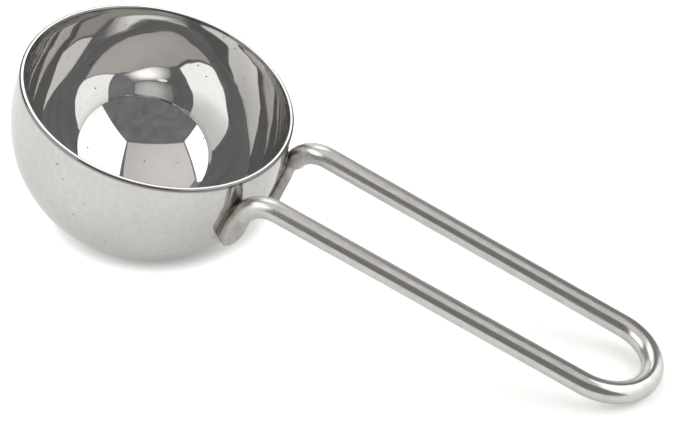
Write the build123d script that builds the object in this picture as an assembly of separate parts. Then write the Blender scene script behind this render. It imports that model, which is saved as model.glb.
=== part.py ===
from build123d import *
import math
import os

# A quarter cup measuring spoon: a round bowl of drawn sheet steel with a looped rod handle.
# It is modelled with the bowl's axis upright and the rim at height zero, the handle along +X.
# Then it is laid down as it rests on a table, on the bowl's bottom and the handle's far end.

# Bowl, outside sizes in millimetres
bowl_radius = 28.54
sheet_thickness = 0.8
widest_depth = 6.9
wall_curve_radius = 80.0
upper_shoulder_radius = 33.0
lower_shoulder_radius = 23.15
upper_shoulder_turn = 18.0
lower_shoulder_turn = 31.5
rim_edge_share = 0.25

# Handle, one bent round rod
rod_diameter = 4.5
handle_reach = 116.0
end_bend_radius = 10.15
neck_spacing = 21.7
neck_bend_radius = 7.0

# Feet, where the rod's ends are pressed flat against the bowl
left_foot_length = 10.8
right_foot_length = 8.0
foot_width = 5.5
foot_lean = 8
foot_thinning = 0.15
foot_edge_radius = 1.6
inner_press_depth = 0.9
facet_press_depth = 1.5
facet_rise = 1.0
electrode_radius = 4.6

# Welds between the feet and the bowl, and the hair's gap that keeps a weld's face out of its foot
weld_thickness = 0.25
weld_fit = 0.03
weld_width = 3.6
weld_height = 6.2
weld_share = 0.5

# Reach of cutting tools past the metal that they cut
overrun = 5.0

# The bowl's outline is four arcs, each tangent to the next. The wall bows out a little, widest
# some way below the rim, then the shoulder tightens in two arcs, and the bottom is centred on the axis.
upper_turn = math.radians(upper_shoulder_turn)
lower_turn = math.radians(lower_shoulder_turn)
wall_centre_radius = bowl_radius - wall_curve_radius
upper_centre_radius = bowl_radius - upper_shoulder_radius
shoulder_change = upper_shoulder_radius - lower_shoulder_radius
lower_centre_radius = upper_centre_radius + shoulder_change * math.cos(upper_turn)
lower_centre_height = -widest_depth - shoulder_change * math.sin(upper_turn)
bottom_change = lower_centre_radius / math.cos(lower_turn)
bottom_radius = lower_shoulder_radius + bottom_change
bottom_centre_height = lower_centre_height + bottom_change * math.sin(lower_turn)

# The rod's top is level with the rim, so that a straight edge can sweep the cup level.
rod_radius = rod_diameter / 2
rod_height = -rod_radius
crown_reach = handle_reach - rod_radius
end_bend_centre = crown_reach - end_bend_radius

# Each foot's centre line meets the bend where the rod, pressed flat inside, touches its weld.
# Side 1 is the left one, towards +Y, and side -1 the right one.
foot_lengths = {1: left_foot_length, -1: right_foot_length}
foot_standoff = weld_thickness + weld_fit + rod_radius - inner_press_depth
foot_side = neck_spacing / 2
foot_reach = math.sqrt((bowl_radius + foot_standoff) ** 2 - foot_side**2)
line_length = math.hypot(end_bend_centre - foot_reach, foot_side)
side_angle = math.degrees(
    math.atan2(foot_side, end_bend_centre - foot_reach) - math.asin(end_bend_radius / line_length)
)


def wall_line(offset):
    """The bowl's outline from the rim to the axis, moved outwards by offset."""
    wall_radius = wall_curve_radius + offset
    rim_turn = math.degrees(math.asin(widest_depth / wall_radius))
    wall = CenterArc((wall_centre_radius, -widest_depth), wall_radius, rim_turn, -rim_turn)
    upper = CenterArc(
        (upper_centre_radius, -widest_depth), upper_shoulder_radius + offset, 0, -upper_shoulder_turn
    )
    lower = CenterArc(
        (lower_centre_radius, lower_centre_height),
        lower_shoulder_radius + offset,
        -upper_shoulder_turn,
        upper_shoulder_turn - lower_shoulder_turn,
    )
    bottom = CenterArc(
        (0, bottom_centre_height), bottom_radius + offset, -lower_shoulder_turn, lower_shoulder_turn - 90
    )
    return [wall, upper, lower, bottom]


def turned(edges):
    """The solid that a closed outline sweeps round the bowl's axis."""
    return revolve(Plane.XZ * make_face(Curve() + edges), Axis.Z)


def filled_bowl(offset, top=0):
    """The bowl's outer form as a solid body, grown by offset and carried straight up to top."""
    outline = wall_line(offset)
    highest, lowest = outline[0] @ 0, outline[-1] @ 1
    if top:
        outline.append(Line((highest.X, highest.Y), (highest.X, top)))
    outline.append(Line((highest.X, top), (0, top)))
    outline.append(Line((0, top), (lowest.X, lowest.Y)))
    return turned(outline)


def make_bowl():
    """Drawn shell with an even wall and a trimmed rim whose two corners are polished round."""
    outside = wall_line(0)
    inside = wall_line(-sheet_thickness)
    rim = Line(inside[0] @ 0, outside[0] @ 0)
    axis = Line(outside[-1] @ 1, inside[-1] @ 1)
    section = make_face(Curve() + outside + inside + [rim, axis])
    corners = section.vertices().group_by(Axis.Y)[-1]
    section = fillet(corners, sheet_thickness * rim_edge_share)
    return revolve(Plane.XZ * section, Axis.Z)


def side_direction(side):
    """The way a straight side of the handle runs towards the bowl."""
    return Vector(-1, 0, 0).rotate(Axis.Z, -side * side_angle)


def foot_direction(side):
    """The way a foot runs down the bowl's wall, leaning in as the wall does."""
    inward = side_direction(side) * math.sin(math.radians(foot_lean))
    return inward + Vector(0, 0, -1) * math.cos(math.radians(foot_lean))


def foot_top(side):
    """The end of the neck bend, where the foot starts."""
    drop = neck_bend_radius * (1 - math.sin(math.radians(foot_lean)))
    return Vector(foot_reach, side * foot_side, rod_height - drop)


def neck_start(side):
    """The end of the straight side, where the neck bend starts."""
    back = side_direction(side) * neck_bend_radius * math.cos(math.radians(foot_lean))
    flat = foot_top(side) - back
    return Vector(flat.X, flat.Y, rod_height)


def foot_frame(side):
    """A plane at the foot's top: x away from the bowl, y across the foot, z up along it."""
    up = -foot_direction(side)
    outward = Vector(foot_reach, side * foot_side, 0)
    across = up.cross(outward).normalized()
    return Plane(origin=foot_top(side), x_dir=across.cross(up), z_dir=up)


def half_path(side):
    """The rod's centre line from one foot to the start of the far bend."""
    start = neck_start(side)
    along = side_direction(side)
    middle_turn = math.radians(90 - foot_lean) / 2
    rise = Vector(0, 0, neck_bend_radius * (math.cos(middle_turn) - 1))
    middle = start + along * neck_bend_radius * math.sin(middle_turn) + rise
    end_centre = foot_top(side) + foot_direction(side) * (foot_lengths[side] - foot_width / 2)
    tangent_side = Vector(0, side * end_bend_radius, 0).rotate(Axis.Z, -side * side_angle)
    side_end = Vector(end_bend_centre, 0, rod_height) + tangent_side
    foot = Edge.make_line(end_centre, foot_top(side))
    bend = Edge.make_three_point_arc(foot_top(side), middle, start)
    straight = Edge.make_line(start, side_end)
    return [foot, bend, straight], side_end


def make_rod():
    """The round rod along its whole centre line, before its ends are pressed."""
    left, left_end = half_path(1)
    right, right_end = half_path(-1)
    crown = Vector(crown_reach, 0, rod_height)
    far_bend = Edge.make_three_point_arc(left_end, crown, right_end)
    path = Wire(left + [far_bend] + right)
    start = left[0] @ 0
    section = Plane(origin=start, z_dir=-foot_direction(1)) * Circle(rod_radius)
    return sweep(section, path=path)


def upright_slot(width, lowest):
    """An oblong, round at both ends, from the facet's top down to a point below the foot's top."""
    length = facet_rise - lowest
    return Plane.YZ * Pos(0, facet_rise - length / 2) * SlotOverall(length, width, rotation=90)


def foot_blank(side):
    """The oblong pad, wider than the rod, that a pressed rod end spreads into."""
    half_depth = rod_radius - foot_thinning
    outline = upright_slot(foot_width, -foot_lengths[side])
    pad = Pos(-half_depth, 0, 0) * extrude(outline, 2 * half_depth)
    ends = pad.edges().filter_by(Plane.YZ)
    return foot_frame(side) * fillet(ends, foot_edge_radius)


def facet_cutter(side):
    """The round nosed electrode that presses the foot's outer face flat."""
    reach = rod_radius - facet_press_depth
    lowest = -foot_lengths[side] - electrode_radius
    outline = upright_slot(2 * electrode_radius, lowest)
    return foot_frame(side) * Pos(reach, 0, 0) * extrude(outline, overrun)


def make_handle():
    """The bent rod with both feet, flat outside and fitted to the bowl's wall inside."""
    handle = make_rod()
    for side in (1, -1):
        handle += foot_blank(side)
    for side in (1, -1):
        handle -= facet_cutter(side)
    return handle - filled_bowl(weld_thickness + weld_fit, overrun)


def make_weld(side):
    """A pad of weld metal that fills the gap between the bowl's wall and the foot."""
    layer = filled_bowl(weld_thickness) - filled_bowl(0)
    outline = SlotCenterToCenter(weld_height - weld_width, weld_width, rotation=90)
    placed = Plane.YZ * Pos(0, -foot_lengths[side] * weld_share) * outline
    plug = extrude(placed, -foot_standoff - overrun)
    return layer & (foot_frame(side) * plug)


def rest_tilt():
    """The handle end's droop, in degrees, when bowl and handle both lie on the table."""
    rise = rod_height - bottom_centre_height
    span = math.hypot(crown_reach, rise)
    return math.degrees(math.asin((bottom_radius - rod_radius) / span) + math.atan2(rise, crown_reach))


nodes = {
    "bowl": make_bowl(),
    "handle": make_handle(),
    "left_weld": make_weld(1),
    "right_weld": make_weld(-1),
}

tilted = {name: Rot(0, rest_tilt(), 0) * shape for name, shape in nodes.items()}
boxes = [shape.bounding_box() for shape in tilted.values()]
middle = (min(box.min.X for box in boxes) + max(box.max.X for box in boxes)) / 2
lowest = min(box.min.Z for box in boxes)

os.makedirs("parts", exist_ok=True)
for name, shape in tilted.items():
    export_step(Pos(-middle, 0, -lowest) * shape, f"parts/{name}.step")

print("tilt", round(rest_tilt(), 4), "shift", round(-middle, 4), round(-lowest, 4))
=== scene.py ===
import math

import bmesh
import bpy
import numpy as np
from mathutils import Matrix, Vector


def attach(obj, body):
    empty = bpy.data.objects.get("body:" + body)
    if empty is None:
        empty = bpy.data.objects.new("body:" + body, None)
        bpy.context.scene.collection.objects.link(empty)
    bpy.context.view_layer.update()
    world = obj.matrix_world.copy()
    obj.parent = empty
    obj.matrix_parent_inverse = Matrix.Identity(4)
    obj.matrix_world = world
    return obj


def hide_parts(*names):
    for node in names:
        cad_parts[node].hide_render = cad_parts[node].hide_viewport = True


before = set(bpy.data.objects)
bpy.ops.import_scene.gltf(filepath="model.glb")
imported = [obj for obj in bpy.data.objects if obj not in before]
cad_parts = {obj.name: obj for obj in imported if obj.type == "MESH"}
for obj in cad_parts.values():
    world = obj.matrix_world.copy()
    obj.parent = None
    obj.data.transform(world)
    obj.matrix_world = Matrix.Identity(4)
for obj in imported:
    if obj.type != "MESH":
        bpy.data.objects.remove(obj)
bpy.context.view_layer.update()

# Camera: the photograph's view, through a long lens half a metre away, looking 35 degrees down
# across the bowl from the right of the handle. The bowl mirrors itself, so light may bounce often.
scene = bpy.context.scene
scene.cycles.glossy_bounces = 12
scene.view_settings.view_transform = "Standard"
camera = bpy.data.objects.new("camera", bpy.data.cameras.new("camera"))
camera.data.lens = 136.73
camera.data.sensor_width = 36
camera.location = (0.19533, -0.37574, 0.3143)
camera.rotation_euler = [math.radians(angle) for angle in (55.192, -0.21, 27.472)]
scene.collection.objects.link(camera)
scene.camera = camera

# Bowl: a scoop of 0.8 mm 18/10 stainless steel sheet, deep drawn to a wall that bows out a little, a
# shoulder and a dished bottom that run smoothly into each other. Drawing thickens it to 1.2 mm at the
# rim, which is trimmed and buffed. It is shaped upright in millimetres, then laid down on the table.
sheet_thickness = 0.8
widest_radius = 28.54
widest_depth = 6.9
wall_curve_radius = 80.0
upper_shoulder_radius = 33.0
upper_turn = math.radians(18)
lower_shoulder_radius = 23.15
lower_turn = math.radians(31.5)
rim_edge_radius = 0.42
face_step = 0.45
edge_step = 0.05
bowl_steps_round = 288
tilt = math.radians(15.9001)
lie_down = Matrix.Scale(0.001, 4) @ Matrix.Translation((-40.2153, 0, 35.577)) @ Matrix.Rotation(tilt, 4, "Y")

# Each arc of the section is a centre, a radius and the turns at its ends. Each runs on from the one
# before, and the bottom's centre is on the axis.
wall_centre = (widest_radius - wall_curve_radius, -widest_depth)
upper_centre = (widest_radius - upper_shoulder_radius, -widest_depth)
shoulder_change = upper_shoulder_radius - lower_shoulder_radius
lower_centre = (
    upper_centre[0] + shoulder_change * math.cos(upper_turn),
    upper_centre[1] - shoulder_change * math.sin(upper_turn),
)
bottom_change = lower_centre[0] / math.cos(lower_turn)
bottom_centre = (0.0, lower_centre[1] + bottom_change * math.sin(lower_turn))
wall_rise = widest_depth - rim_edge_radius
section_arcs = [
    (bottom_centre, lower_shoulder_radius + bottom_change, -math.pi / 2, -lower_turn),
    (lower_centre, lower_shoulder_radius, -lower_turn, -upper_turn),
    (upper_centre, upper_shoulder_radius, -upper_turn, 0.0),
    (wall_centre, wall_curve_radius, 0.0, math.asin(wall_rise / wall_curve_radius)),
]

# Inside, the wall leaves the sheet's even thickness where the bowl is widest and curls in towards
# the rim, in arcs that are each a radius and the depth at which they end.
curl_arcs = ((50.0, 3.1), (13.0, 1.7), (63.0, rim_edge_radius))
inner_arcs = [
    (centre, radius - sheet_thickness, start, end) for centre, radius, start, end in section_arcs[:3]
]
lean, reached = 0.0, (widest_radius - sheet_thickness, -widest_depth)
for radius, depth in curl_arcs:
    centre = (reached[0] - radius * math.cos(lean), reached[1] - radius * math.sin(lean))
    start, lean = lean, math.asin((-depth - centre[1]) / radius)
    inner_arcs.append((centre, radius, start, lean))
    reached = (centre[0] + radius * math.cos(lean), -depth)


def arc(centre, radius, start, end, step):
    """Points along an arc of the bowl's section, from turn start to end, about step apart."""
    count = max(2, round(abs(end - start) * radius / step) + 1)
    return [
        (centre[0] + radius * math.cos(turn), centre[1] + radius * math.sin(turn))
        for turn in np.linspace(start, end, count)
    ]


def sheet_face(arcs):
    """One face of the sheet, from the pole at the bottom up to the rim's buffed edge."""
    points = []
    for face_arc in arcs:
        points += arc(*face_arc, face_step)[:-1]
    return points


def buffed_edge(face_centre, reach, inside):
    """The rim's small round edge, up from the outer face or, inside, down to the inner one."""
    lean = math.asin((-rim_edge_radius - face_centre[1]) / reach)
    centre = (face_centre[0] + reach * math.cos(lean), -rim_edge_radius)
    start, end = (math.pi / 2, math.pi + lean) if inside else (lean, math.pi / 2)
    return arc(centre, rim_edge_radius, start, end, edge_step)


# The rim's flat top lies between its two edges, with points across it that keep it shaded flat.
outer_face = sheet_face(section_arcs)
outer_edge = buffed_edge(wall_centre, wall_curve_radius - rim_edge_radius, inside=False)
inner_edge = buffed_edge(inner_arcs[-1][0], inner_arcs[-1][1] + rim_edge_radius, inside=True)
flat_top = [(radius, 0.0) for radius in np.linspace(outer_edge[-1][0], inner_edge[0][0], 8)[1:-1]]
outline = outer_face + outer_edge + flat_top + inner_edge + sheet_face(inner_arcs)[::-1]
rim_middle = (outer_edge[0][0] + inner_edge[-1][0]) / 2


def tone(code):
    """An sRGB hex colour as a linear one."""
    parts = [int(code[start : start + 2], 16) / 255 for start in (0, 2, 4)]
    return [part / 12.92 if part <= 0.04045 else ((part + 0.055) / 1.055) ** 2.4 for part in parts] + [1]


def add(tree, kind, inputs={}, **settings):
    """Adds a node, makes its settings, and fills its inputs with values or links."""
    node = tree.nodes.new(kind)
    for name, value in settings.items():
        setattr(node, name, value)
    for socket, value in inputs.items():
        if isinstance(value, bpy.types.NodeSocket):
            tree.links.new(value, node.inputs[socket])
        else:
            node.inputs[socket].default_value = value
    return node


def new_steel(name, metallic):
    """A metal material, its node tree, its shader and its object coordinates in metres."""
    material = bpy.data.materials.new(name)
    material.use_nodes = True
    tree = material.node_tree
    shader = tree.nodes["Principled BSDF"]
    shader.inputs["Metallic"].default_value = metallic
    place = add(tree, "ShaderNodeTexCoord").outputs["Object"]
    return material, tree, shader, place


def stored(tree, name):
    """What a piece's mesh holds under a name, from 0 to 1."""
    return add(tree, "ShaderNodeAttribute", attribute_name=name).outputs["Fac"]


# Stainless steel that was heated turns straw and brown.
heat_brown = tone("75695E")


def heat_tint(tree, place, clean, most):
    """The metal's colour, browned in patches 1.4 mm wide where the mesh says that the welds' heat ran."""
    patch = add(tree, "ShaderNodeTexNoise", {"Vector": place, "Scale": 700.0, "Detail": 2.0})
    spread = add(
        tree,
        "ShaderNodeMapRange",
        {
            "Value": patch.outputs["Fac"],
            "From Min": 0.3,
            "From Max": 0.7,
            "To Min": most * 0.5,
            "To Max": most,
        },
    )
    fade = add(
        tree,
        "ShaderNodeMath",
        {0: stored(tree, "weld_heat"), 1: spread.outputs["Result"]},
        operation="MULTIPLY",
    )
    browned = add(
        tree,
        "ShaderNodeMix",
        {"Factor": fade.outputs[0], "A": clean, "B": heat_brown},
        data_type="RGBA",
    )
    return browned.outputs["Result"]


# Drawn and mirror polished stainless steel: crisp reflections that the drawn sheet makes a little
# wavy, faint upright drawing lines outside, a soft unevenness of the polish, and a few tiny pits.
polish_light = tone("D5D4D2")
polish_dark = tone("D0CFCD")
# Dark grey painted on the rim's rounded edges, a painted reflection of the dark room.
painted_reflection_grey = tone("646362")
worn_grey = tone("A3A3A3")
pit_grey = tone("565452")
most_wear = 0.22

# Coordinates that undo the bowl's lying down are upright ones, in metres, from the rim's middle.
polished, tree, shader, place = new_steel("mirror_polished_stainless", 0.94)
upright = add(
    tree,
    "ShaderNodeMapping",
    {"Vector": place, "Location": lie_down.inverted().translation * 0.001, "Rotation": (0, -tilt, 0)},
)
outside = stored(tree, "outer_face")

# The polish varies in clouds 11 mm wide, and the rim's rounded edges are painted dark grey, a painted
# reflection of the dark room.
cloud = add(tree, "ShaderNodeTexNoise", {"Vector": place, "Scale": 90.0, "Detail": 3.0})
shade = add(
    tree,
    "ShaderNodeMix",
    {"Factor": cloud.outputs["Fac"], "A": polish_light, "B": polish_dark},
    data_type="RGBA",
)
browned = heat_tint(tree, place, shade.outputs["Result"], 0.75)
# The rim's rounded edges take the painted reflection's dark grey.
painted_reflection_share = add(tree, "ShaderNodeMath", {0: stored(tree, "rim_corner_painted_reflection"), 1: 0.9}, operation="MULTIPLY")
with_painted_reflection = add(
    tree,
    "ShaderNodeMix",
    {"Factor": painted_reflection_share.outputs[0], "A": browned, "B": painted_reflection_grey},
    data_type="RGBA",
)

# Lines 0.5 mm wide and some 10 mm long run down the wall, laid out by a place's way round the bowl
# of 28 mm radius and a twentieth of its height. With grain 1.2 mm wide they dull the metal, less so
# inside. The real ones are finer: these are as coarse as they need to be to show.
sideways = add(
    tree, "ShaderNodeVectorMath", {0: upright.outputs[0], 1: (1.0, 1.0, 0.0)}, operation="MULTIPLY"
)
heading = add(tree, "ShaderNodeVectorMath", {0: sideways.outputs[0]}, operation="NORMALIZE")
way_round = add(tree, "ShaderNodeVectorMath", {0: heading.outputs[0], "Scale": 0.028}, operation="SCALE")
way_down = add(
    tree, "ShaderNodeVectorMath", {0: upright.outputs[0], 1: (0.0, 0.0, 0.05)}, operation="MULTIPLY"
)
drawn = add(tree, "ShaderNodeVectorMath", {0: way_round.outputs[0], 1: way_down.outputs[0]}, operation="ADD")
lines = add(tree, "ShaderNodeTexNoise", {"Vector": drawn.outputs[0], "Scale": 2000.0, "Detail": 2.0})
grain = add(tree, "ShaderNodeTexNoise", {"Vector": place, "Scale": 800.0, "Detail": 3.0, "Roughness": 0.6})
texture = add(
    tree,
    "ShaderNodeMath",
    {0: lines.outputs["Fac"], 1: 0.5, 2: grain.outputs["Fac"]},
    operation="MULTIPLY_ADD",
)
worn = add(
    tree,
    "ShaderNodeMapRange",
    {"Value": texture.outputs[0], "From Min": 0.55, "From Max": 0.95, "To Min": 0.0, "To Max": most_wear},
)
exposed = add(tree, "ShaderNodeMath", {0: outside, 1: 0.75, 2: 0.25}, operation="MULTIPLY_ADD")
wear = add(tree, "ShaderNodeMath", {0: worn.outputs["Result"], 1: exposed.outputs[0]}, operation="MULTIPLY")
speckled = add(
    tree,
    "ShaderNodeMix",
    {"Factor": wear.outputs[0], "A": with_painted_reflection.outputs["Result"], "B": worn_grey},
    data_type="RGBA",
)

# Pits up to 0.4 mm across, some 9 mm apart, are left where dirt was pressed into the sheet. Cells are
# 2.5 mm wide, and a pit is the middle of one in two of them, where that lies on the sheet.
cells = add(tree, "ShaderNodeTexVoronoi", {"Vector": place, "Scale": 400.0})
chosen = add(tree, "ShaderNodeMath", {0: cells.outputs["Color"], 1: 0.55}, operation="GREATER_THAN")
core = add(tree, "ShaderNodeMath", {0: cells.outputs["Distance"], 1: 0.08}, operation="LESS_THAN")
pit = add(tree, "ShaderNodeMath", {0: core.outputs[0], 1: chosen.outputs[0]}, operation="MULTIPLY")
pitted = add(
    tree,
    "ShaderNodeMix",
    {"Factor": pit.outputs[0], "A": speckled.outputs["Result"], "B": pit_grey},
    data_type="RGBA",
)
tree.links.new(pitted.outputs["Result"], shader.inputs["Base Color"])

# Waves 12 mm long cross all of the sheet but its trimmed rim. The lines and grain are felt outside
# alone. Inside, soft ribs 2.5 mm wide run down the wall but not over the bottom, and feather what
# it reflects.
wave = add(tree, "ShaderNodeTexNoise", {"Vector": place, "Scale": 85.0, "Detail": 1.0})
off_rim = add(tree, "ShaderNodeMath", {0: 1.0, 1: stored(tree, "rim")}, operation="SUBTRACT")
waved = add(
    tree,
    "ShaderNodeBump",
    {"Height": wave.outputs["Fac"], "Distance": 0.00003, "Strength": off_rim.outputs[0]},
)
faint = add(tree, "ShaderNodeMath", {0: outside, 1: 0.06}, operation="MULTIPLY")
lined = add(
    tree,
    "ShaderNodeBump",
    {
        "Height": texture.outputs[0],
        "Distance": 0.00001,
        "Strength": faint.outputs[0],
        "Normal": waved.outputs["Normal"],
    },
)
height = add(tree, "ShaderNodeSeparateXYZ", {0: upright.outputs[0]}).outputs["Z"]
wall = add(
    tree,
    "ShaderNodeMapRange",
    {"Value": height, "From Min": -0.019, "From Max": -0.01},
    interpolation_type="SMOOTHSTEP",
)
inner_wall = add(
    tree, "ShaderNodeMath", {0: wall.outputs["Result"], 1: outside}, operation="SUBTRACT", use_clamp=True
)
ribs = add(tree, "ShaderNodeTexNoise", {"Vector": drawn.outputs[0], "Scale": 400.0, "Detail": 0.5})
ribbed = add(
    tree,
    "ShaderNodeBump",
    {
        "Height": ribs.outputs["Fac"],
        "Distance": 0.00002,
        "Strength": inner_wall.outputs[0],
        "Normal": lined.outputs["Normal"],
    },
)
tree.links.new(ribbed.outputs["Normal"], shader.inputs["Normal"])
gloss = add(
    tree,
    "ShaderNodeMapRange",
    {"Value": cloud.outputs["Fac"], "From Min": 0.3, "From Max": 0.7, "To Min": 0.02, "To Max": 0.045},
)
tree.links.new(gloss.outputs["Result"], shader.inputs["Roughness"])


def shaping_tree(name, inputs, result):
    """A node tree that shapes a piece, and what its named inputs are given."""
    tree = bpy.data.node_groups.new(name, "GeometryNodeTree")
    tree.is_modifier = True
    for title, kind in inputs.items():
        tree.interface.new_socket(title, in_out="INPUT", socket_type="NodeSocket" + kind)
    tree.interface.new_socket(result, in_out="OUTPUT", socket_type="NodeSocketGeometry")
    return tree, add(tree, "NodeGroupInput").outputs


def end_shaping(tree, shaped, metal, result):
    """Ends such a tree with the smooth, real piece in its metal."""
    smooth = add(tree, "GeometryNodeSetShadeSmooth", {"Geometry": shaped})
    real = add(tree, "GeometryNodeRealizeInstances", {"Geometry": smooth.outputs[0]})
    finished = add(tree, "GeometryNodeSetMaterial", {"Geometry": real.outputs[0], "Material": metal})
    add(tree, "NodeGroupOutput", {result: finished.outputs[0]})


# The bowl's tree turns the section round the upright axis: a grid whose rows read the section's
# points, closed at the seam and at both poles, where points lie within 2 micrometres.
lathe, given = shaping_tree(
    "turned_bowl",
    {"Section": "Geometry", "Steps round": "Int", "Outside rows": "Int", "Metal": "Material"},
    "Bowl",
)
rows = add(lathe, "GeometryNodeAttributeDomainSize", {0: given["Section"]}).outputs["Point Count"]
columns = add(lathe, "ShaderNodeMath", {0: given["Steps round"], 1: 1.0}, operation="ADD")
grid = add(lathe, "GeometryNodeMeshGrid", {"Vertices X": columns.outputs[0], "Vertices Y": rows})
index = add(lathe, "GeometryNodeInputIndex").outputs[0]
row = add(lathe, "ShaderNodeMath", {0: index, 1: rows}, operation="MODULO")
passed = add(lathe, "ShaderNodeMath", {0: index, 1: rows}, operation="DIVIDE")
column = add(lathe, "ShaderNodeMath", {0: passed.outputs[0]}, operation="FLOOR")
share = add(lathe, "ShaderNodeMath", {0: column.outputs[0], 1: given["Steps round"]}, operation="DIVIDE")
turn = add(lathe, "ShaderNodeMath", {0: share.outputs[0], 1: 2 * math.pi}, operation="MULTIPLY")
position = add(lathe, "GeometryNodeInputPosition").outputs[0]
point = add(
    lathe,
    "GeometryNodeSampleIndex",
    {"Geometry": given["Section"], "Value": position, "Index": row.outputs[0]},
    data_type="FLOAT_VECTOR",
    domain="POINT",
)
turned = add(
    lathe,
    "ShaderNodeVectorRotate",
    {"Vector": point.outputs["Value"], "Angle": turn.outputs[0]},
    rotation_type="Z_AXIS",
)
shell = add(
    lathe, "GeometryNodeSetPosition", {"Geometry": grid.outputs["Mesh"], "Position": turned.outputs[0]}
)
outer_rows = add(
    lathe, "ShaderNodeMath", {0: row.outputs[0], 1: given["Outside rows"]}, operation="LESS_THAN"
)
marked = add(
    lathe,
    "GeometryNodeStoreNamedAttribute",
    {"Geometry": shell.outputs[0], "Name": "outer_face", "Value": outer_rows.outputs[0]},
    data_type="FLOAT",
    domain="POINT",
)
closed = add(lathe, "GeometryNodeMergeByDistance", {"Geometry": marked.outputs[0], "Distance": 0.002})
end_shaping(lathe, closed.outputs[0], given["Metal"], "Bowl")


def grown(name, points, tree, **values):
    """The plain mesh that a node tree makes of a line of points, with the tree's named inputs set."""
    line = bpy.data.meshes.new(name)
    line.from_pydata(points, [(i, i + 1) for i in range(len(points) - 1)], [])
    piece = bpy.data.objects.new(name, line)
    scene.collection.objects.link(piece)
    modifier = piece.modifiers.new(tree.name, "NODES")
    modifier.node_group = tree
    for item in tree.interface.items_tree:
        if item.in_out == "INPUT" and item.name in values:
            modifier[item.identifier] = values[item.name]
    evaluated = piece.evaluated_get(bpy.context.evaluated_depsgraph_get())
    mesh = bpy.data.meshes.new_from_object(evaluated)
    piece.modifiers.remove(modifier)
    piece.data = mesh
    mesh.name = name
    return piece


edge_rows_outside = 5
bowl = grown(
    "bowl_shell",
    [(radius, 0, height) for radius, height in outline],
    lathe,
    **{
        "Steps round": bowl_steps_round,
        "Outside rows": len(outer_face) + edge_rows_outside,
        "Metal": polished,
    },
)


def face_out(mesh, merge=0.0):
    """Turns a closed mesh's faces outwards, after points nearer than merge are made one."""
    work = bmesh.new()
    work.from_mesh(mesh)
    if merge:
        bmesh.ops.remove_doubles(work, verts=work.verts, dist=merge)
    bmesh.ops.recalc_face_normals(work, faces=work.faces)
    work.to_mesh(mesh)
    work.free()


def mark(mesh, name, values):
    """Stores a value from 0 to 1 at each of a mesh's points."""
    mesh.attributes.new(name, "FLOAT", "POINT").data.foreach_set("value", np.clip(values, 0, 1))


def places(mesh):
    """A mesh's points as rows of an array."""
    points = np.empty(len(mesh.vertices) * 3)
    mesh.vertices.foreach_get("co", points)
    return points.reshape(-1, 3)


def line_gap(points, start, end):
    """Distances of points from a straight line's stretch."""
    way = end - start
    share = np.clip((points - start) @ way / (way @ way), 0, 1)
    return np.linalg.norm(points - start - share[..., None] * way, axis=-1)


# The rim's rounded edges carry a painted reflection of the dark room, darker than its trimmed top. They begin
# so far from its middle, reach so far down, and fade in over these widths.
painted_edge_from_middle, painted_edge_fade = 0.22, 0.07
edge_depth, depth_fade = 0.55, 0.12
face_out(bowl.data)
across_rim = np.abs(np.hypot(*places(bowl.data)[:, :2].T) - rim_middle)
on_painted_edge = (across_rim - painted_edge_from_middle) / painted_edge_fade
on_rim = (places(bowl.data)[:, 2] + edge_depth) / depth_fade
mark(bowl.data, "rim_corner_painted_reflection", np.minimum(on_painted_edge, on_rim))
mark(bowl.data, "rim", on_rim)

# The welds' heat ran past the feet, whose lines are each given by their upper and lower end.
foot_half_width = 2.75
heat_run = 1.6
foot_lines = (((27.0, 10.4, -8.4), (25.9, 10.0, -16.0)), ((27.0, -10.4, -8.4), (26.2, -10.1, -13.3)))
weld_heat = np.zeros(len(bowl.data.vertices))
for upper_end, lower_end in foot_lines:
    gap = line_gap(places(bowl.data), np.array(upper_end), np.array(lower_end)) - foot_half_width
    weld_heat = np.maximum(weld_heat, 1 - gap / heat_run)
on_outside = np.empty(len(bowl.data.vertices))
bowl.data.attributes["outer_face"].data.foreach_get("value", on_outside)
mark(bowl.data, "weld_heat", np.clip(weld_heat, 0, 1) ** 1.5 * on_outside)
bowl.data.transform(lie_down)
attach(bowl, "root")
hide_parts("bowl")

# Handle: one length of 4.5 mm stainless rod, bent into a long narrow loop level with the rim. Both
# ends turn down the bowl's wall, where the welding electrodes press them into wide flat feet.
rod_radius = 2.25
rod_sides = 96
end_bend_radius = 10.15
end_bend_centre = 103.6
neck_bend_radius = 7.0

# A foot's line stands off the wall and leans in with it, and its metal ends 0.28 mm short of the wall.
# The pressed pad is 5.5 mm wide and starts above the foot's top. Its facet lies 0.75 mm out from the
# line, and the round end of the electrode's print is centred 3.6 mm below the foot's top.
foot_side = 10.85
foot_standoff = 1.63
foot_lean = math.radians(8)
foot_lengths = {1: 10.8, -1: 8.0}
foot_half_depth = 2.1
foot_edge_radius = 1.6
foot_pad_top = 1
foot_gap = 0.28
facet_reach = 0.75
facet_top = -3.6
facet_radius = 4.6

foot_reach = math.sqrt((widest_radius + foot_standoff) ** 2 - foot_side**2)
run = end_bend_centre - foot_reach
side_angle = math.atan2(foot_side, run) - math.asin(end_bend_radius / math.hypot(run, foot_side))
upward = np.array((0.0, 0.0, 1.0))

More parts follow.
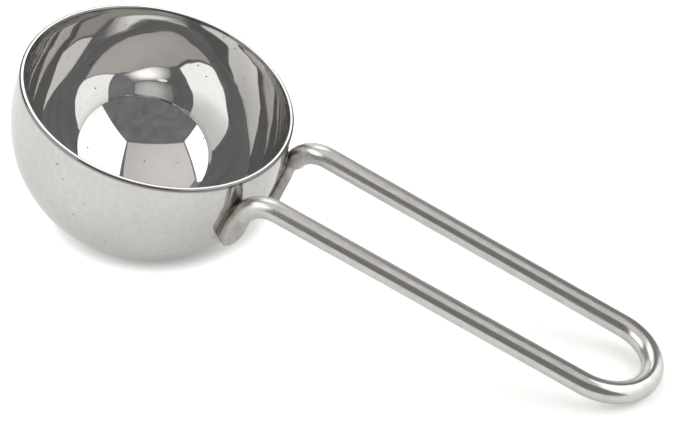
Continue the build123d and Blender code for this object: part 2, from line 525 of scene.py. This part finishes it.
# Side 1 is the left foot, towards +Y, and side -1 the right one. The rod's line is followed from
# each foot's tip up to its top, round the neck bend, and along the straight side to the far bend.
feet = {}
for side, length in foot_lengths.items():
    along = np.array((-math.cos(side_angle), side * math.sin(side_angle), 0.0))
    rise = upward * math.cos(foot_lean) - along * math.sin(foot_lean)
    drop = neck_bend_radius * (1 - math.sin(foot_lean))
    top = np.array((foot_reach, side * foot_side, -rod_radius - drop))
    across = np.cross(rise, (foot_reach, side * foot_side, 0.0))
    across /= np.linalg.norm(across)
    middle = top - neck_bend_radius * (along * math.cos(foot_lean) + upward * math.sin(foot_lean))
    swing = np.array((math.sin(side_angle), side * math.cos(side_angle), 0.0)) * end_bend_radius
    feet[side] = {
        "along": along,
        "rise": rise,
        "top": top,
        "across": across,
        "outward": np.cross(across, rise),
        "middle": middle,
        "tip_centre": top - rise * (length - foot_half_width),
        "neck": middle + upward * neck_bend_radius,
        "far_end": swing + (end_bend_centre, 0, -rod_radius),
        "length": length,
    }

# The rod's rings are closer together where the electrodes shape it.
tip_rings = 30
foot_ring_step = 0.14
close_bend = 0.6
close_bend_rings = 26
open_bend_rings = 20
side_rings = 44
far_bend_rings = 73


def foot_line(foot):
    """Points on the rod's line from a foot's tip to the end of its neck bend."""
    tips = np.sin(np.linspace(math.pi / 2, 0, tip_rings)) * foot_half_width
    points = [foot["tip_centre"] - foot["rise"] * tip for tip in tips]
    count = round((foot["length"] - foot_half_width) / foot_ring_step)
    way = foot["top"] - foot["tip_centre"]
    points += [foot["tip_centre"] + way * share for share in np.linspace(0, 1, count)[1:]]
    bend = math.pi / 2 - foot_lean
    close = np.linspace(bend, bend - close_bend, close_bend_rings)[1:]
    wide = np.linspace(bend - close_bend, 0, open_bend_rings)[1:]
    for turn in np.concatenate((close, wide)):
        spoke = foot["along"] * math.sin(turn) + upward * math.cos(turn)
        points.append(foot["middle"] + neck_bend_radius * spoke)
    return points


def straight_line(foot):
    """Points on the rod's line along a straight side, after its neck bend."""
    way = foot["far_end"] - foot["neck"]
    return [foot["neck"] + way * share for share in np.linspace(0, 1, side_rings)[1:]]


far_bend = []
for turn in np.linspace(math.pi / 2 - side_angle, side_angle - math.pi / 2, far_bend_rings)[1:-1]:
    reach = end_bend_centre + end_bend_radius * math.cos(turn)
    far_bend.append(np.array((reach, end_bend_radius * math.sin(turn), -rod_radius)))
rod_line = foot_line(feet[1]) + straight_line(feet[1]) + far_bend
rod_line += (foot_line(feet[-1]) + straight_line(feet[-1]))[::-1]

# Tumbled stainless rod: a soft satin with fine lines along the drawn wire, straw and brown where
# the welding heat ran up the feet. The satin is mottled in spots 2.4 mm wide. The lines are 4 mm
# long and a fortieth of the rod's girth wide, which is coarser than the real ones, so that they show.
satin_light = tone("D4D3D0")
satin_dark = tone("BEBDB9")
satin, tree, shader, place = new_steel("tumbled_satin_stainless", 0.95)
cloud = add(tree, "ShaderNodeTexNoise", {"Vector": place, "Scale": 420.0, "Detail": 4.0})
wire = add(tree, "ShaderNodeUVMap", uv_map="along_and_round").outputs["UV"]
stretched = add(tree, "ShaderNodeVectorMath", {0: wire, 1: (0.25, 40.0, 0.0)}, operation="MULTIPLY")
drawn = add(tree, "ShaderNodeTexNoise", {"Vector": stretched.outputs[0], "Scale": 1.0, "Detail": 2.0})
mixed = add(tree, "ShaderNodeMath", {0: cloud.outputs["Fac"], 1: drawn.outputs["Fac"]}, operation="ADD")
mottle = add(tree, "ShaderNodeMapRange", {"Value": mixed.outputs[0], "From Min": 0.6, "From Max": 1.4})
shade = add(
    tree,
    "ShaderNodeMix",
    {"Factor": mottle.outputs["Result"], "A": satin_light, "B": satin_dark},
    data_type="RGBA",
)
tree.links.new(heat_tint(tree, place, shade.outputs["Result"], 0.85), shader.inputs["Base Color"])
gloss = add(
    tree,
    "ShaderNodeMapRange",
    {"Value": cloud.outputs["Fac"], "From Min": 0.3, "From Max": 0.7, "To Min": 0.15, "To Max": 0.23},
)
dull = add(
    tree,
    "ShaderNodeMath",
    {0: stored(tree, "pressed_end"), 1: 0.12, 2: gloss.outputs["Result"]},
    operation="MULTIPLY_ADD",
)
tree.links.new(dull.outputs[0], shader.inputs["Roughness"])
bump = add(tree, "ShaderNodeBump", {"Height": drawn.outputs["Fac"], "Distance": 0.000009})
tree.links.new(bump.outputs["Normal"], shader.inputs["Normal"])

# The rod's tree carries a circle along that line.
bender, given = shaping_tree(
    "bent_rod",
    {"Line": "Geometry", "Rod radius": "Float", "Sides": "Int", "Metal": "Material"},
    "Rod",
)
rail = add(bender, "GeometryNodeMeshToCurve", {0: given["Line"]})
round_bar = add(
    bender, "GeometryNodeCurvePrimitiveCircle", {"Resolution": given["Sides"], "Radius": given["Rod radius"]}
)
swept = add(
    bender,
    "GeometryNodeCurveToMesh",
    {"Curve": rail.outputs[0], "Profile Curve": round_bar.outputs["Curve"], "Fill Caps": True},
)
end_shaping(bender, swept.outputs[0], given["Metal"], "Rod")

rod = grown(
    "handle_rod",
    [tuple(point) for point in rod_line],
    bender,
    **{"Rod radius": rod_radius, "Sides": rod_sides, "Metal": satin},
)

# Each corner of the rod's faces gets its way along the wire and its turn round it, in millimetres
# and in turns.
lengths = np.linalg.norm(np.diff(np.array(rod_line), axis=0), axis=1)
travelled = np.concatenate(((0.0,), np.cumsum(lengths)))
corners = np.empty(len(rod.data.loops), dtype=int)
rod.data.loops.foreach_get("vertex_index", corners)
rounds = (corners % rod_sides) / rod_sides
for face in rod.data.polygons:
    span = slice(face.loop_start, face.loop_start + face.loop_total)
    if face.loop_total == 4 and np.ptp(rounds[span]) > 0.5:
        rounds[span][rounds[span] < 0.5] += 1
wire_map = rod.data.uv_layers.new(name="along_and_round")
wire_map.data.foreach_set("uv", np.stack((travelled[corners // rod_sides], rounds), axis=1).ravel())

# How far the pressed metal flows together: where the pad leaves the rod, at the facet's edge, and
# where the foot meets the wall.
pad_ease = 0.8
facet_ease = 0.25
wall_ease = 0.2


def blended(first, second, reach):
    """The nearer of two distances, eased together where they are alike."""
    ease = np.maximum(reach - np.abs(first - second), 0)
    return np.minimum(first, second) - ease**2 / (4 * reach)


def wall_gap(points):
    """Distances outside the bowl's wall or, level with it, above its rim."""
    radius, height = np.hypot(points[..., 0], points[..., 1]), points[..., 2]
    gap = np.hypot(radius - lower_centre[0], height - lower_centre[1]) - lower_shoulder_radius
    for centre, bend, low, high in section_arcs[2:]:
        turn = np.arctan2(height - centre[1], radius - centre[0])
        gap = np.where(turn > low, np.hypot(radius - centre[0], height - centre[1]) - bend, gap)
    return gap


def foot_form(points, foot):
    """Distances outside a pressed foot and its neck: below zero is metal."""
    bend = math.pi / 2 - foot_lean
    offset = points - foot["middle"]
    turn = np.clip(np.arctan2(offset @ foot["along"], offset[..., 2]), 0, bend)[..., None]
    nearest = foot["middle"] + neck_bend_radius * (foot["along"] * np.sin(turn) + upward * np.cos(turn))
    bar = np.minimum(
        np.linalg.norm(points - nearest, axis=-1), line_gap(points, foot["neck"], foot["far_end"])
    )
    bar = np.minimum(line_gap(points, foot["tip_centre"], foot["top"]), bar)
    local = points - foot["top"]
    deep, wide, high = local @ foot["outward"], local @ foot["across"], local @ foot["rise"]
    lowest, highest = foot_half_width - foot["length"], foot_pad_top - foot_half_width
    pad = np.hypot(wide, high - np.clip(high, lowest, highest)) - foot_half_width + foot_edge_radius
    face = np.abs(deep) - foot_half_depth + foot_edge_radius
    pad = np.minimum(np.maximum(pad, face), 0) + np.hypot(np.maximum(pad, 0), np.maximum(face, 0))
    metal = blended(bar - rod_radius, pad - foot_edge_radius, pad_ease)
    press = np.hypot(wide, np.maximum(high - facet_top, 0)) - facet_radius
    metal = -blended(-metal, np.maximum(facet_reach - deep, press), facet_ease)
    return -blended(-metal, wall_gap(points) - foot_gap, wall_ease)


def press_foot(points, centres, foot):
    """Moves the rod's surface straight in or out, round its line, to the pressed foot's form."""
    furthest, steps, halvings = 4.5, 90, 18
    rays = points - centres
    rays /= np.linalg.norm(rays, axis=-1, keepdims=True)
    inner = np.zeros(points.shape[:-1])
    outer = np.full(points.shape[:-1], furthest)
    found = np.zeros(points.shape[:-1], dtype=bool)
    for reach in np.linspace(0.0, furthest, steps + 1)[1:]:
        beyond = foot_form(centres + rays * reach, foot) > 0
        outer = np.where(beyond & ~found, reach, outer)
        found |= beyond
        inner = np.where(found, inner, reach)
    for _ in range(halvings):
        reach = (inner + outer) / 2
        beyond = foot_form(centres + rays * reach[..., None], foot) > 0
        inner, outer = np.where(beyond, inner, reach), np.where(beyond, reach, outer)
    return centres + rays * ((inner + outer) / 2)[..., None]


# Both ends of the rod are pressed, and the ring at each tip is drawn together to a point.
surface = places(rod.data).reshape(len(rod_line), rod_sides, 3)
centres = np.array(rod_line)[:, None, :]
left_rings, right_rings = len(foot_line(feet[1])), len(foot_line(feet[-1]))
for side, pressed in ((1, slice(0, left_rings)), (-1, slice(-right_rings, None))):
    surface[pressed] = press_foot(surface[pressed], centres[pressed], feet[side])
surface[0], surface[-1] = centres[0], centres[-1]
rod.data.vertices.foreach_set("co", surface.ravel())

# The pressed ends are duller, fading out along the wire. The welds' heat browned what lies near the
# wall, in the wire's last stretch.
dull_end, dull_fade = 26, 14
heated_end, heated_depth = 16, 3.4
from_end = np.repeat(np.minimum(travelled, travelled[-1] - travelled), rod_sides)
mark(rod.data, "pressed_end", (dull_end - from_end) / dull_fade)
near_wall = np.maximum(1 - wall_gap(places(rod.data)) / heated_depth, 0)
mark(rod.data, "weld_heat", near_wall**0.8 * (from_end < heated_end))
face_out(rod.data, merge=0.0005)
rod.data.transform(lie_down)
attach(rod, "root")
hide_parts("handle")

# Welds: where the feet are resistance welded to the wall, the metal melted, squeezed out to the
# feet's edges and set again, dull and brown from the heat, with a scorched grey skin.
# A seam lies on the wall and dips into the foot. It runs from the foot's tip to above the foot's top,
# inside the foot's edges all round.
weld_wall_gap = 0.01
weld_foot_overlap = 0.12
weld_inset = 0.2
weld_rise = 2.2
weld_rings = 12
weld_steps_round = 96
scorch_brown = tone("7B7167")
scorch_grey = tone("A59F97")
scorched, tree, shader, place = new_steel("heat_tinted_weld", 1.0)
cloud = add(tree, "ShaderNodeTexNoise", {"Vector": place, "Scale": 900.0, "Detail": 5.0})
shade = add(
    tree,
    "ShaderNodeMix",
    {"Factor": cloud.outputs["Fac"], "A": scorch_brown, "B": scorch_grey},
    data_type="RGBA",
)
tree.links.new(shade.outputs["Result"], shader.inputs["Base Color"])
gloss = add(tree, "ShaderNodeMapRange", {"Value": cloud.outputs["Fac"], "To Min": 0.3, "To Max": 0.5})
tree.links.new(gloss.outputs["Result"], shader.inputs["Roughness"])
bump = add(tree, "ShaderNodeBump", {"Height": cloud.outputs["Fac"], "Distance": 0.00004})
tree.links.new(bump.outputs["Normal"], shader.inputs["Normal"])


def against_wall(points, foot, gap):
    """Moves points straight towards the bowl until they are gap away from its wall."""
    inwards, outwards, halvings = -4.0, 2.0, 24
    near, far = np.full(len(points), inwards), np.full(len(points), outwards)
    for _ in range(halvings):
        middle = (near + far) / 2
        outside_it = wall_gap(points + foot["outward"] * middle[:, None]) > gap
        near, far = np.where(outside_it, near, middle), np.where(outside_it, middle, far)
    return points + foot["outward"] * ((near + far) / 2)[:, None]


# Each seam is two oblong layers of rings, one on the wall and one in the foot, joined at their edge.
for side, name in ((1, "left_weld"), (-1, "right_weld")):
    foot = feet[side]
    turns = np.linspace(0, 2 * math.pi, weld_steps_round, endpoint=False)
    half = (foot["length"] - 2 * foot_half_width + weld_rise) / 2
    middle = foot["top"] + foot["rise"] * (weld_rise - foot_half_width - half)
    pad = []
    for share in np.linspace(1, 0, weld_rings, endpoint=False):
        reach = share * (foot_half_width - weld_inset)
        wide = reach * np.sin(turns)
        high = reach * np.cos(turns) + share * half * np.sign(np.cos(turns))
        pad.append(middle + wide[:, None] * foot["across"] + high[:, None] * foot["rise"])
    pad = np.concatenate(pad)
    under = against_wall(pad, foot, weld_wall_gap)
    over = against_wall(pad, foot, foot_gap + weld_foot_overlap)
    count, layer = len(turns), len(pad)
    faces = []
    for ring in range(weld_rings - 1):
        for step in range(count):
            a, b = ring * count + step, ring * count + (step + 1) % count
            faces.append((a, b, b + count, a + count))
            faces.append((layer + a, layer + a + count, layer + b + count, layer + b))
    for step in range(count):
        faces.append((step, layer + step, layer + (step + 1) % count, (step + 1) % count))
    faces.append(tuple(range(layer - count, layer)))
    faces.append(tuple(range(2 * layer - 1, 2 * layer - count - 1, -1)))
    mesh = bpy.data.meshes.new(name + "_seam")
    mesh.from_pydata([tuple(point) for point in np.concatenate((under, over))], [], faces)
    mesh.materials.append(scorched)
    face_out(mesh)
    mesh.transform(lie_down)
    seam = bpy.data.objects.new(name + "_seam", mesh)
    scene.collection.objects.link(seam)
    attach(seam, "root")
    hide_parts(name)

# Studio: a white light tent on a white table, turned to face the camera, open in front to a dark
# room and only partly closed behind. Its panels glow, a little apart at the seams, each brightest
# near its lamp. Places are given in metres to the right, away from the camera and up.
tent = Matrix.Translation((-0.040, 0, 0)) @ Matrix.Rotation(math.radians(32.09), 4, "Z")
tent_height = 0.6
side_height = 0.592


def light_up(lit, lamp, reach, levels, tint="FFFFFF", uneven=0.16):
    """Makes a sheet glow, as its levels say, between two distances from its lamp.

    Folds some 170 mm wide make the glow uneven.
    """
    glow = bpy.data.materials.new(lit.name)
    glow.use_nodes = True
    tree = glow.node_tree
    shader = tree.nodes["Principled BSDF"]
    shader.inputs["Base Color"].default_value = (0, 0, 0, 1)
    shader.inputs["Specular IOR Level"].default_value = 0
    shader.inputs["Emission Color"].default_value = tone(tint)
    place = add(tree, "ShaderNodeTexCoord").outputs["Object"]
    away = add(tree, "ShaderNodeVectorMath", {0: place, 1: tent @ Vector(lamp)}, operation="DISTANCE")
    strength = add(
        tree,
        "ShaderNodeMapRange",
        {
            "Value": away.outputs["Value"],
            "From Min": reach[0],
            "From Max": reach[1],
            "To Min": levels[0],
            "To Max": levels[1],
        },
        interpolation_type="SMOOTHSTEP",
    )
    folds = add(tree, "ShaderNodeTexNoise", {"Vector": place, "Scale": 6.0, "Detail": 4.0})
    dimmed = add(
        tree,
        "ShaderNodeMath",
        {0: folds.outputs["Fac"], 1: uneven, 2: 1 - uneven / 2},
        operation="MULTIPLY_ADD",
    )
    glowing = add(
        tree,
        "ShaderNodeMath",
        {0: strength.outputs["Result"], 1: dimmed.outputs[0]},
        operation="MULTIPLY",
    )
    tree.links.new(glowing.outputs[0], shader.inputs["Emission Strength"])
    lit.data.materials.append(glow)
    lit.visible_camera = False


def panel(name, corners, lamp, reach, levels, tint="FFFFFF"):
    """A glowing white sheet: level 1 shows in a mirror as white."""
    mesh = bpy.data.meshes.new(name)
    mesh.from_pydata(corners, [], [tuple(range(len(corners)))])
    mesh.transform(tent)
    lit = bpy.data.objects.new(name, mesh)
    scene.collection.objects.link(lit)
    light_up(lit, lamp, reach, levels, tint)


# The roof is warm white cloth. Behind it is the opening that the lamps shine through, with one more
# bright spot, which the rim's flat top mirrors.
roof_front = ((0.276, -0.43), (-0.34, -0.382))
roof_back = ((-0.342, 0.07), (-0.18, 0.21), (0.03, 0.178), (0.2, 0.15), (0.252, 0.045))
panel(
    "tent_roof",
    [(x, y, tent_height) for x, y in roof_front + roof_back],
    lamp=(-0.2, -0.15, tent_height),
    reach=(0.1, 0.55),
    levels=(0.93, 0.745),
    tint="FFFAF6",
)
opening = ((-0.3, 0.22), (-0.16, 0.22), (0.22, 0.16), (0.3, 0.3), (0.26, 0.62), (-0.31, 0.62))
panel(
    "tent_glow",
    [(x, y, tent_height) for x, y in opening],
    lamp=(-0.02, 0.36, tent_height),
    reach=(0.06, 0.34),
    levels=(2.8, 0.5),
)
spot_middle = (0.243, 0.542)
spot_reach = (0.1, 0.085)
spot = [
    (spot_middle[0] + spot_reach[0] * math.cos(turn), spot_middle[1] + spot_reach[1] * math.sin(turn))
    for turn in np.linspace(0, 2 * math.pi, 24, endpoint=False)
]
panel(
    "tent_spot",
    [(x, y, tent_height - 0.002) for x, y in spot],
    lamp=(*spot_middle, tent_height),
    reach=(0.08, 0.1),
    levels=(2.0, 0.9),
)

# The sides are lit from high above, and the sweep behind from its middle.
left, right, behind = -0.355, 0.29, 0.635
panel(
    "tent_left",
    [(left, -0.25, 0), (left, 0.14, 0), (left, 0.11, side_height), (left, -0.392, side_height)],
    lamp=(left, -0.12, 1.5),
    reach=(1.2, 1.5),
    levels=(2.15, 1.2),
)
panel(
    "tent_right",
    [(right, -0.267, 0), (right, 0.11, 0), (right, 0.06, side_height), (right, -0.427, side_height)],
    lamp=(right, -0.05, 1.5),
    reach=(1.2, 1.5),
    levels=(2.3, 1.25),
)
panel(
    "tent_sweep",
    [(-0.28, behind, 0), (0.48, behind, 0), (0.48, behind, 0.57), (-0.28, behind, 0.57)],
    lamp=(0.0, behind, 0.3),
    reach=(0.05, 0.5),
    levels=(1.2, 0.4),
)

# Whatever is seen past the room is white, and throws no light.
studio_world = bpy.data.worlds.new("studio")
scene.world = studio_world
studio_world.use_nodes = True
tree = studio_world.node_tree


def seen(tree):
    """One where the eye, a reflection or a view through glass sees a surface, else zero."""
    path = add(tree, "ShaderNodeLightPath").outputs
    total = add(tree, "ShaderNodeMath", {0: path["Is Camera Ray"], 1: path["Is Glossy Ray"]}, operation="ADD")
    through = path["Is Transmission Ray"]
    return add(tree, "ShaderNodeMath", {0: total.outputs[0], 1: through}, operation="ADD").outputs[0]


tree.links.new(seen(tree), tree.nodes["Background"].inputs["Strength"])
tree.nodes["Background"].inputs["Color"].default_value = (1, 1, 1, 1)


def box_mesh(name, low, high):
    """A closed box between two corners."""
    corners = [(x, y, z) for x in (low[0], high[0]) for y in (low[1], high[1]) for z in (low[2], high[2])]
    faces = [(0, 1, 3, 2), (4, 6, 7, 5), (0, 4, 5, 1), (2, 3, 7, 6), (0, 2, 6, 4), (1, 5, 7, 3)]
    mesh = bpy.data.meshes.new(name)
    mesh.from_pydata(corners, [], faces)
    piece = bpy.data.objects.new(name, mesh)
    scene.collection.objects.link(piece)
    return piece


room = box_mesh("dark_room", (-0.48, -1.0, -0.01), (0.5, 0.66, 0.62))
room.data.transform(tent)
light_up(
    room,
    lamp=(-0.45, 0.5, 0.5),
    reach=(0.2, 0.75),
    levels=(0.378, 0.225),
    tint="F8F9FF",
    uneven=1.0,
)

# Table: white paper. Seen by the eye alone, it is lifted to white round the bowl's shadow, whose
# middle is given, and less so further off, where the handle casts its own.
shadow_middle = (-0.048, 0.011, 0.0)
shadow_edge = (0.0215, 0.0275)
shadow_lift = (0.02, 0.6)
lift_fade = (0.045, 0.09)
lift_loss = 0.46
floor = box_mesh("table", (-4, -4, -0.005), (4, 4, 0))
paper = bpy.data.materials.new("white_table")
paper.use_nodes = True
tree = paper.node_tree
shader = tree.nodes["Principled BSDF"]
shader.inputs["Base Color"].default_value = tone("F4F4F2")
shader.inputs["Roughness"].default_value = 0.9
shader.inputs["Specular IOR Level"].default_value = 0.0
shader.inputs["Emission Color"].default_value = (1, 1, 1, 1)
place = add(tree, "ShaderNodeTexCoord").outputs["Object"]
away = add(tree, "ShaderNodeVectorMath", {0: place, 1: shadow_middle}, operation="DISTANCE").outputs["Value"]
ramps = {}
for name, (near, far), (least, most) in (
    ("lifted", shadow_edge, shadow_lift),
    ("lost", lift_fade, (0.0, lift_loss)),
    ("horizon", (0.3, 0.6), (0.12, 1.0)),
):
    ramps[name] = add(
        tree,
        "ShaderNodeMapRange",
        {"Value": away, "From Min": near, "From Max": far, "To Min": least, "To Max": most},
        interpolation_type="SMOOTHSTEP",
    ).outputs["Result"]
whitened = add(tree, "ShaderNodeMath", {0: ramps["lifted"], 1: ramps["lost"]}, operation="SUBTRACT")
watched = add(tree, "ShaderNodeLightPath").outputs["Is Camera Ray"]
lift = add(tree, "ShaderNodeMath", {0: whitened.outputs[0], 1: watched}, operation="MULTIPLY")
glow = add(
    tree,
    "ShaderNodeMath",
    {0: seen(tree), 1: ramps["horizon"], 2: lift.outputs[0]},
    operation="MULTIPLY_ADD",
)
tree.links.new(glow.outputs[0], shader.inputs["Emission Strength"])
floor.data.materials.append(paper)
